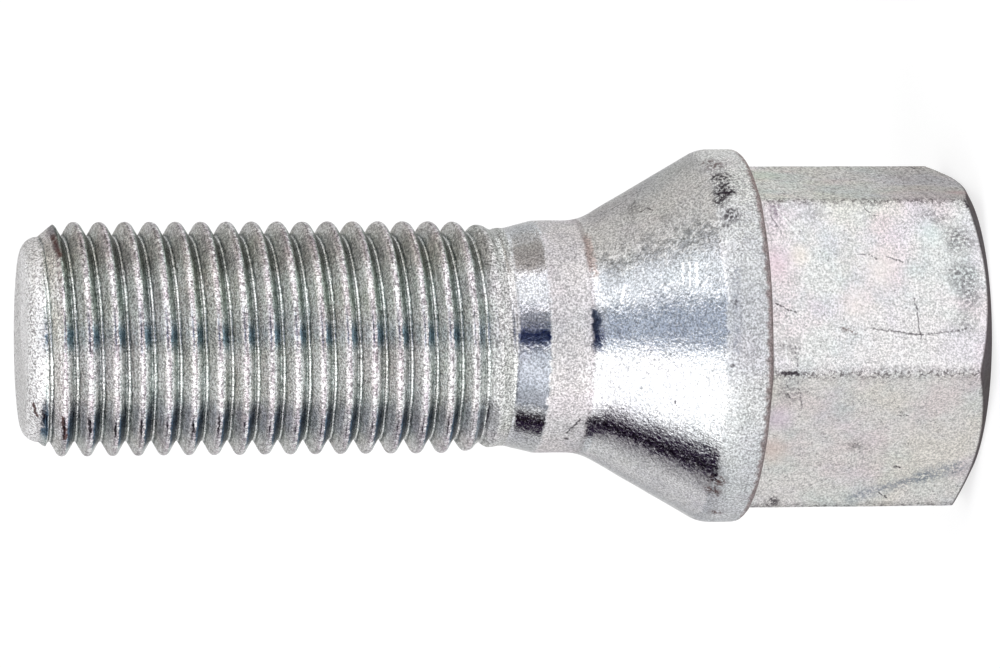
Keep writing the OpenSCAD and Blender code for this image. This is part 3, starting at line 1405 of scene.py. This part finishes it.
FINISHES: dict[Zone, ZincFinish] = {
    Zone.THREAD: ThreadFinish(
        name="thread_plate",
        colour=(1.0, 1.0, 1.0),
        blotch_colour=(0.86, 0.86, 0.86),
        roughness=0.22,
        grain_colour=0.62,
        grain_height=0.3,
        hammer_waves=2.6,
        hammer_height=0.3,
        tint=0.2,
        patches=(
            # Painted shade down two sides of the thread
            Patch((-66.0, -40.0), (28.5, 55.5), (0.72, 0.71, 0.7), soft=16.0),
            Patch((-170.0, -146.0), (28.5, 55.5), (0.85, 0.85, 0.88), soft=10.0),
            Patch(
                ALL_ROUND,
                (55.25, 57.0),
                (0.9, 0.88, 0.88),
                soft_height=0.3,
                kind="MIX",
                roughness=0.36,
            ),
        ),
        marks=THREAD_MARKS,
    ),
    Zone.SEAT: ZincFinish(
        name="seat_plate",
        colour=(0.68, 0.69, 0.71),
        blotch_colour=(0.6, 0.61, 0.64),
        roughness=0.12,
        roughness_swing=0.1,
        grain_colour=0.42,
        grain_height=0.12,
        hammer_waves=4.2,
        hammer_height=0.8,
        tint=0.14,
        patches=(
            Patch(ALL_ROUND, (23.45, 25.85), (1.02, 0.97, 0.96), soft_height=0.24, roughness=0.38),
            # Rougher side of the cone and collar, with painted light
            Patch((-72.0, 72.0), (13.0, 23.4), (1.13, 1.12, 1.09), soft=26.0, roughness=0.24),
            # Painted shade, then a painted highlight, in bands down the cone
            Patch((-94.0, -72.0), (16.3, 22.9), (0.62, 0.64, 0.65), soft=18.0),
            Patch((-186.0, -157.0), (16.3, 22.9), (1.2, 1.17, 1.14), soft=8.0, roughness=0.16),
            # Painted shade on the slope by azimuth, with a painted dark blue reflection
            Patch((-72.0, -52.0), (25.9, 27.75), (0.75, 0.73, 0.71)),
            Patch((-92.0, -76.0), (25.9, 27.75), (0.74, 0.76, 0.76), soft=5.0),
            Patch((-104.0, -95.0), (25.9, 27.75), (0.78, 0.78, 0.78), soft=5.0),
            Patch((-111.5, -105.0), (25.9, 27.75), (0.17, 0.2, 0.3), soft=3.0),
            Patch((-146.0, -113.0), (25.9, 27.75), (0.46, 0.48, 0.52), soft=5.0),
            Patch((-154.0, -134.0), (25.9, 27.75), (0.68, 0.68, 0.68), soft=5.0),
            Patch((-186.0, -160.0), (25.9, 27.75), (0.86, 0.86, 0.86), soft=5.0),
            # Painted shade in the fillet between the cone and the shoulder, with a painted dark
            # blue reflection
            Patch(ALL_ROUND, (23.2, 23.48), (0.74, 0.71, 0.71), soft_height=0.14),
            Patch((-75.0, -50.0), (22.95, 23.45), (0.8, 0.7, 0.68), soft=8.0),
            Patch((-114.0, -95.0), (23.0, 23.42), (0.15, 0.18, 0.26), soft=6.0, soft_height=0.3),
            Patch(ALL_ROUND, (13.0, 16.22), (0.94, 0.94, 0.93), soft_height=0.3, roughness=0.38),
            # Painted shade on the collar's back rounding, next to the hexagon
            Patch(ALL_ROUND, (13.0, 13.84), (0.5, 0.42, 0.41), soft_height=0.3),
        ),
        marks=SEAT_MARKS,
    ),
    Zone.HEXAGON: HexagonFinish(
        name="hexagon_plate",
        colour=(0.8, 0.78, 0.78),
        blotch_colour=(0.73, 0.74, 0.75),
        blotches=Flecks(0.35, 5, 0.6, (0.45, 0.7)),
        roughness=0.5,
        grain_colour=0.3,
        tint=0.3,
        patches=(
            # Painted shade on the faces, by side: deepening towards the end face on the face from
            # -60 to 0 degrees, which also has a faint green tint, and even on the faces from -180
            # to -120 and from 0 to 180 degrees
            Patch((-60.0, 0.0), (-1.0, 13.6), (1.04, 1.07, 1.03), soft=2.0),
            Patch((-60.0, 0.0), (-1.0, 9.5), (0.88, 0.87, 0.89), soft=2.0, soft_height=3.0),
            Patch((-60.0, 0.0), (-1.0, 4.5), (0.82, 0.8, 0.8), soft=2.0, soft_height=3.0),
            Patch((-180.0, -120.0), (-1.0, 13.6), (0.8, 0.8, 0.78), soft=2.0),
            Patch((0.0, 180.0), (-1.0, 13.6), (0.86, 0.86, 0.86), soft=2.0),
        ),
        marks=HEXAGON_MARKS,
    ),
}


@dataclass(frozen=True)
class Dent:
    """Nick pressed towards the axis, at an azimuth in degrees, a height and a radius."""

    azimuth: float
    height: float
    radius: float
    size: float
    depth: float


DENTS = tuple(
    Dent(azimuth, height * MM, radius * MM, size * MM, depth * MM)
    for azimuth, height, radius, size, depth in (
        (-50.0, 54.4, 6.7, 0.5, 0.14),
        (-53.0, 53.0, 6.85, 0.35, 0.12),
        (-157.0, 54.1, 6.84, 0.5, 0.12),
        (-155.0, 52.6, 6.84, 0.4, 0.08),
        (-109.5, 49.6, 6.87, 0.4, 0.08),
        (-84.0, 43.8, 6.87, 0.4, 0.08),
        (-121.0, 38.1, 6.87, 0.35, 0.07),
        (-17.0, 51.3, 6.87, 0.4, 0.1),
        (64.0, 53.2, 6.87, 0.45, 0.12),
        (131.0, 47.0, 6.87, 0.4, 0.1),
        (22.0, 36.5, 6.87, 0.35, 0.08),
        (-60.6, 1.1, 10.6, 0.4, 0.14),
        (-3.6, 1.75, 10.4, 0.35, 0.12),
        (-119.8, 12.5, 10.67, 0.5, 0.1),
        (-60.4, 9.3, 10.67, 0.4, 0.07),
        (-120.2, 5.2, 10.67, 0.4, 0.06),
        (-176.4, 11.1, 10.4, 0.4, 0.1),
        (60.3, 3.4, 10.67, 0.45, 0.1),
        (119.5, 8.2, 10.67, 0.4, 0.1),
        (-58.6, 15.5, 11.08, 0.4, 0.06),
        (-165.0, 16.2, 10.9, 0.5, 0.05),
        (38.0, 15.3, 11.1, 0.5, 0.06),
    )
)


@dataclass
class WheelBolt:
    """The whole bolt as one mesh."""

    name: str = "wheel_bolt_plated"
    seat_end: float = HEAD_LENGTH + 0.01 * MM
    bridge_length: float = 0.05 * MM
    unevenness: float = 0.02 * MM
    uneven_waves: float = 900.0
    even_core: float = 2 * MM
    even_foot: float = 0.05 * MM
    least_rise: float = 0.001 * MM
    dents: tuple[Dent, ...] = DENTS
    seat: Seat = field(init=False)
    shank: ThreadedShank = field(init=False)
    head: HexagonHead = field(init=False)

    def __post_init__(self) -> None:
        """Fits the three stretches to the part's box and to each other."""
        low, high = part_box(NODE)
        self.seat = Seat(collar_radius=min(high.x, -low.x, high.y, -low.y) - BOX_CLEARANCE)
        self.shank = ThreadedShank(low=self.seat.top + self.bridge_length)
        back_reach, back_height = self.seat.profile()[0]
        self.head = HexagonHead(back_reach=back_reach, back_height=back_height)

    def zone_of(self, face: bmesh.types.BMFace) -> Zone:
        """Zone that a face lies in.

        Args:
            face: The face.

        Returns:
            The zone.
        """
        height = face.calc_center_median().z
        if height > self.shank.low:
            return Zone.THREAD
        return Zone.SEAT if height > self.seat_end else Zone.HEXAGON

    def surface(self, place: Place) -> Vector:
        """Point of a place on the surface, in millimetres.

        Args:
            place: Azimuth from +X in degrees and height in millimetres.

        Returns:
            The point.
        """
        angle, height = math.radians(place[0]), place[1] * MM
        profile = self.seat.profile()
        if height < self.seat.collar_height:
            radius = self.head.wall(height)(angle)[0]
        elif height > self.shank.thread_top:
            rise = min(height - self.shank.thread_top, self.shank.tip_round)
            round_left = math.sqrt(self.shank.tip_round**2 - rise**2)
            radius = self.shank.root_radius - self.shank.tip_round + round_left
        elif height > self.seat.top:
            radius = self.shank.skin_radius(self.shank.crest_radius, height)
        else:
            after = next(number for number, (_, level) in enumerate(profile) if level >= height)
            (below, low), (above, high) = profile[max(after - 1, 0)], profile[max(after, 1)]
            radius = blend(below, above, (height - low) / max(high - low, self.least_rise))
        return polar(radius, angle, height) / MM

    def wear(self, mesh: bmesh.types.BMesh) -> None:
        """Makes the surface slightly uneven and presses the dents in, inside the part's box.

        Args:
            mesh: The whole mesh.
        """
        presses = [
            (polar(dent.radius, math.radians(dent.azimuth), dent.height), dent)
            for dent in self.dents
        ]
        for vertex in mesh.verts:
            point = vertex.co.copy()
            across = math.hypot(point.x, point.y)
            if across < self.even_core or point.z < self.even_foot:
                continue
            inward = self.unevenness * noise.noise(point * self.uneven_waves)
            for centre, dent in presses:
                share = 1 - (point - centre).length_squared / dent.size**2
                if share > 0:
                    inward += dent.depth * share * share
            radius = min(across - inward, self.seat.collar_radius)
            vertex.co = polar(radius, math.atan2(point.y, point.x), point.z)

    def build(self) -> bpy.types.Object:
        """Builds the three stretches, bridges them and dresses the mesh.

        Returns:
            The finished piece.
        """
        mesh = self.shank.build()
        take_in(mesh, self.seat.build())
        rings = [*open_ring(mesh, self.shank.low), *open_ring(mesh, self.seat.top)]
        bmesh.ops.bridge_loops(mesh, edges=rings)
        take_in(mesh, self.head.build())
        bmesh.ops.remove_doubles(mesh, verts=mesh.verts[:], dist=WELD_REACH)
        bmesh.ops.recalc_face_normals(mesh, faces=mesh.faces[:])
        for face in mesh.faces:
            face.smooth = True
            face.material_index = self.zone_of(face).value
        self.wear(mesh)
        open_edges = sum(not edge.is_manifold for edge in mesh.edges)
        triangles = sum(len(face.verts) - 2 for face in mesh.faces)
        log.info("%s: %d triangles, %d open edges", self.name, triangles, open_edges)
        data = bpy.data.meshes.new(self.name)
        mesh.to_mesh(data)
        mesh.free()
        for zone in Zone:
            data.materials.append(FINISHES[zone].material(self.surface))
        piece = bpy.data.objects.new(self.name, data)
        bpy.context.scene.collection.objects.link(piece)
        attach(piece, BODY)
        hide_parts(NODE)
        return piece


@dataclass(frozen=True)
class PhotoCamera:
    """Camera at the photograph's viewing angle, rolled so that the bolt lies across the picture.

    The axis point is a point of the bolt's axis, whose column and row in the photograph are known.
    """

    picture_width: int = 1000
    picture_height: int = 668
    axis_point_height: float = 40 * MM
    axis_point_pixel: Place = (295.2, 337.93)
    pixels_per_metre: float = 16946.0
    distance: float = 333.5 * MM
    tilt: float = math.radians(9.5)
    near_azimuth: float = math.radians(CAMERA_AZIMUTH)
    turn_in_picture: float = math.radians(0.315)
    sensor: float = 36.0
    clip: Span = (10 * MM, 20.0)

    def build(self) -> bpy.types.Object:
        """Makes the camera and sets it as the scene's.

        Returns:
            The camera.
        """
        data = bpy.data.cameras.new("camera")
        data.sensor_fit = "HORIZONTAL"
        data.sensor_width = self.sensor
        data.lens = self.sensor * self.pixels_per_metre * self.distance / self.picture_width
        data.clip_start, data.clip_end = self.clip
        near = Vector((math.cos(self.near_azimuth), math.sin(self.near_azimuth), 0))
        across = Vector((-near.y, near.x, 0))
        bolt = Matrix((near, across, Vector((0, 0, 1)))).transposed()
        seen_near = Vector((math.sin(self.tilt), 0, math.cos(self.tilt)))
        seen_across = Vector((0, 1, 0))
        seen_axis = Vector((-math.cos(self.tilt), 0, math.sin(self.tilt)))
        seen = Matrix((seen_near, seen_across, seen_axis)).transposed()
        seen = Matrix.Rotation(self.turn_in_picture, 3, "Z") @ seen
        turn = bolt @ seen.transposed()
        column, row = self.axis_point_pixel
        offset = Vector(
            (
                (column - self.picture_width / 2) / self.pixels_per_metre,
                (self.picture_height / 2 - row) / self.pixels_per_metre,
                -self.distance,
            )
        )
        camera = bpy.data.objects.new("camera", data)
        place = Vector((0, 0, self.axis_point_height)) - turn @ offset
        camera.matrix_world = Matrix.Translation(place) @ turn.to_4x4()
        bpy.context.scene.collection.objects.link(camera)
        bpy.context.scene.camera = camera
        return camera


@dataclass(frozen=True)
class TentPanel:
    """Patch of the light tent, in degrees of azimuth from the camera and of elevation."""

    azimuth: Span
    elevation: Span
    colour: Colour
    soft: float = 6.0


@dataclass
class Studio:
    """Pale floor and a soft light tent with a few dark gaps, which the plate reflects."""

    camera_azimuth: float = CAMERA_AZIMUTH
    floor_radius: float = 4.0
    floor_segments: int = 96
    floor_colour: Colour = (0.32, 0.32, 0.32)
    floor_glow: float = 0.74
    floor_roughness: float = 0.9
    floor_shine: float = 0.1
    tent_colour: Colour = (1.0, 1.0, 1.0)
    tent_strength: float = 1.3
    backdrop_colour: Colour = (0.97, 0.97, 0.97)
    panels: list[TentPanel] = field(
        default_factory=lambda: [
            TentPanel(ALL_ROUND, (58, 95), (0.62, 0.63, 0.6), 14),
            TentPanel((72, 132), (-5, 60), (0.5, 0.48, 0.46), 8),
            TentPanel((132, 228), (-5, 40), (0.42, 0.42, 0.42), 14),
            TentPanel((-168, -118), (-5, 60), (0.66, 0.66, 0.67), 8),
            TentPanel((30, 70), (0, 60), (1.4, 1.4, 1.42), 8),
            TentPanel((-72, -16), (0, 60), (1.6, 1.6, 1.62), 8),
            TentPanel((-12, 32), (36, 60), (0.4, 0.45, 0.54), 8),
            TentPanel((6, 30), (-15, 34), (0.3, 0.32, 0.36), 5),
            TentPanel((-9, 7), (-15, 34), (0.03, 0.05, 0.16), 4),
            TentPanel((-117, -84), (-15, 55), (0.02, 0.01, 0.03), 5),
        ]
    )

    def build_floor(self) -> bpy.types.Object:
        """Makes the floor that the bolt stands on.

        Returns:
            The floor.
        """
        mesh = bmesh.new()
        bmesh.ops.create_circle(
            mesh, cap_ends=True, segments=self.floor_segments, radius=self.floor_radius
        )
        data = bpy.data.meshes.new("floor")
        mesh.to_mesh(data)
        mesh.free()
        material = bpy.data.materials.new("floor_paper")
        material.use_nodes = True
        sketch = Sketch(material.node_tree)
        shader = sketch.node(
            "ShaderNodeBsdfPrincipled",
            {
                "Base Color": (*self.floor_colour, 1),
                "Roughness": self.floor_roughness,
                "Specular IOR Level": self.floor_shine,
                "Emission Color": (1, 1, 1, 1),
                "Emission Strength": self.floor_glow,
            },
        )
        sketch.node("ShaderNodeOutputMaterial", {"Surface": shader.outputs[0]})
        data.materials.append(material)
        floor = bpy.data.objects.new("floor", data)
        bpy.context.scene.collection.objects.link(floor)
        return floor

    def build_tent(self) -> bpy.types.World:
        """Makes the world: a white tent with panels, and a plain backdrop for camera rays.

        Returns:
            The world.
        """
        world = bpy.data.worlds.new("light_tent")
        world.use_nodes = True
        sketch = Sketch(world.node_tree)
        direction = sketch.node("ShaderNodeTexCoord", {}).outputs["Generated"]
        parts = sketch.node("ShaderNodeSeparateXYZ", {0: direction}).outputs
        azimuth = sketch.math("ARCTAN2", parts[1], parts[0])
        azimuth = sketch.math("MULTIPLY_ADD", azimuth, math.degrees(1), -self.camera_azimuth)
        elevation = sketch.math("MULTIPLY", sketch.math("ARCSINE", parts[2]), math.degrees(1))
        colour: Socket | Colour = self.tent_colour
        for panel in self.panels:
            share = sketch.inside(elevation, panel.elevation, panel.soft)
            if panel.azimuth != ALL_ROUND:
                sector = sketch.sector(azimuth, panel.azimuth, panel.soft)
                share = sketch.math("MULTIPLY", sector, share)
            colour = sketch.mix(share, colour, panel.colour)
        seen = sketch.node("ShaderNodeLightPath", {}).outputs["Is Camera Ray"]
        colour = sketch.mix(seen, colour, self.backdrop_colour)
        sockets = {"Color": colour, "Strength": self.tent_strength}
        light = sketch.node("ShaderNodeBackground", sockets)
        sketch.node("ShaderNodeOutputWorld", {"Surface": light.outputs[0]})
        bpy.context.scene.world = world
        return world

    def build(self) -> None:
        """Makes the floor and the tent, and shows colours as they are."""
        self.build_floor()
        self.build_tent()
        bpy.context.scene.view_settings.view_transform = "Standard"


def main() -> None:
    """Builds the bolt, the studio and the camera."""
    logging.basicConfig(level=logging.INFO, format="%(name)s: %(message)s")
    bolt = WheelBolt().build()
    log.info("built %s", bolt.name)
    Studio().build()
    PhotoCamera().build()


if __name__ == "__main__":
    main()
